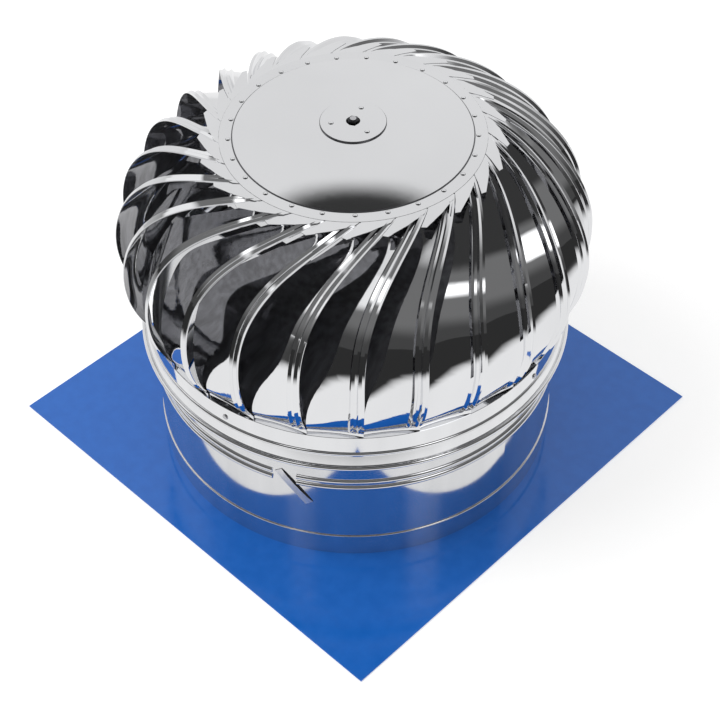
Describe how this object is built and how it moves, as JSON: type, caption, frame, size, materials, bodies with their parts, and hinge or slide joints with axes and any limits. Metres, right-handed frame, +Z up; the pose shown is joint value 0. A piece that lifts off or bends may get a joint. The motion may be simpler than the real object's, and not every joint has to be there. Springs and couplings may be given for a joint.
{
  "type": "roof turbine ventilator",
  "caption": "Wind-driven roof turbine ventilator: a polished bladed head turns on a fixed shaft above a round throat on a square blue flashing plate.",
  "frame": {"origin": "centre of the flashing plate's underside", "axes": "+Z up along the shaft; X and Y along the plate's sides"},
  "size_m": [0.5, 0.5, 0.3862],
  "materials": {
    "mirror_stainless": "mirror-polished stainless steel sheet",
    "rivet_steel": "bright rivet steel",
    "blue_paint": "semi-gloss blue coating",
    "zinc_steel": "zinc-plated steel",
    "bright_steel": "bright turned steel",
    "bearing_steel": "ground bearing steel",
    "cage_brass": "plain brass",
    "dark_steel": "blackened steel"
  },
  "bodies": {
    "base": {"base_plate": "blue_paint", "base_collar": "zinc_steel", "throat": "mirror_stainless", "seam_tab": "mirror_stainless", "lower_cross_bar": "zinc_steel", "upper_cross_bar": "zinc_steel", "bar_rivets": "rivet_steel", "shaft": "bright_steel", "spacer_tube": "bright_steel", "foot_washer": "bright_steel", "foot_nut": "bright_steel", "top_washer": "bright_steel", "top_nut": "dark_steel", "lower_inner_race": "bearing_steel", "upper_inner_race": "bearing_steel"},
    "head": {"blade_01": "mirror_stainless", "blade_02": "mirror_stainless", "blade_03": "mirror_stainless", "blade_04": "mirror_stainless", "blade_05": "mirror_stainless", "blade_06": "mirror_stainless", "blade_07": "mirror_stainless", "blade_08": "mirror_stainless", "blade_09": "mirror_stainless", "blade_10": "mirror_stainless", "blade_11": "mirror_stainless", "blade_12": "mirror_stainless", "blade_13": "mirror_stainless", "blade_14": "mirror_stainless", "blade_15": "mirror_stainless", "blade_16": "mirror_stainless", "blade_17": "mirror_stainless", "blade_18": "mirror_stainless", "blade_19": "mirror_stainless", "blade_20": "mirror_stainless", "blade_21": "mirror_stainless", "blade_22": "mirror_stainless", "blade_23": "mirror_stainless", "blade_24": "mirror_stainless", "blade_25": "mirror_stainless", "lower_band": "mirror_stainless", "cap": "mirror_stainless", "clamp_ring": "zinc_steel", "crown_rivets": "rivet_steel", "hub_disc": "mirror_stainless", "hub_rivets": "rivet_steel", "upper_housing": "zinc_steel", "upper_outer_race": "bearing_steel", "retainers": "bright_steel", "head_spider": "zinc_steel", "spider_rivets": "rivet_steel", "lower_housing": "zinc_steel", "lower_outer_race": "bearing_steel", "housing_bolts": "bright_steel", "housing_nuts": "bright_steel"},
    "lower_ball_ring": {"lower_balls": "bearing_steel", "lower_cage": "cage_brass"},
    "upper_ball_ring": {"upper_balls": "bearing_steel", "upper_cage": "cage_brass"}
  },
  "joints": [
    {"name": "head_spin", "type": "hinge", "parent": "base", "child": "head", "pos_m": [0, 0, 0.25], "axis": [0, 0, 1], "continuous": true},
    {"name": "lower_ball_spin", "type": "hinge", "parent": "base", "child": "lower_ball_ring", "pos_m": [0, 0, 0.166], "axis": [0, 0, 1], "continuous": true},
    {"name": "upper_ball_spin", "type": "hinge", "parent": "base", "child": "upper_ball_ring", "pos_m": [0, 0, 0.375], "axis": [0, 0, 1], "continuous": true}
  ],
  "couplings": [
    {"joint": "lower_ball_spin", "follows": "head_spin", "ratio": 0.61},
    {"joint": "upper_ball_spin", "follows": "head_spin", "ratio": 0.61}
  ]
}
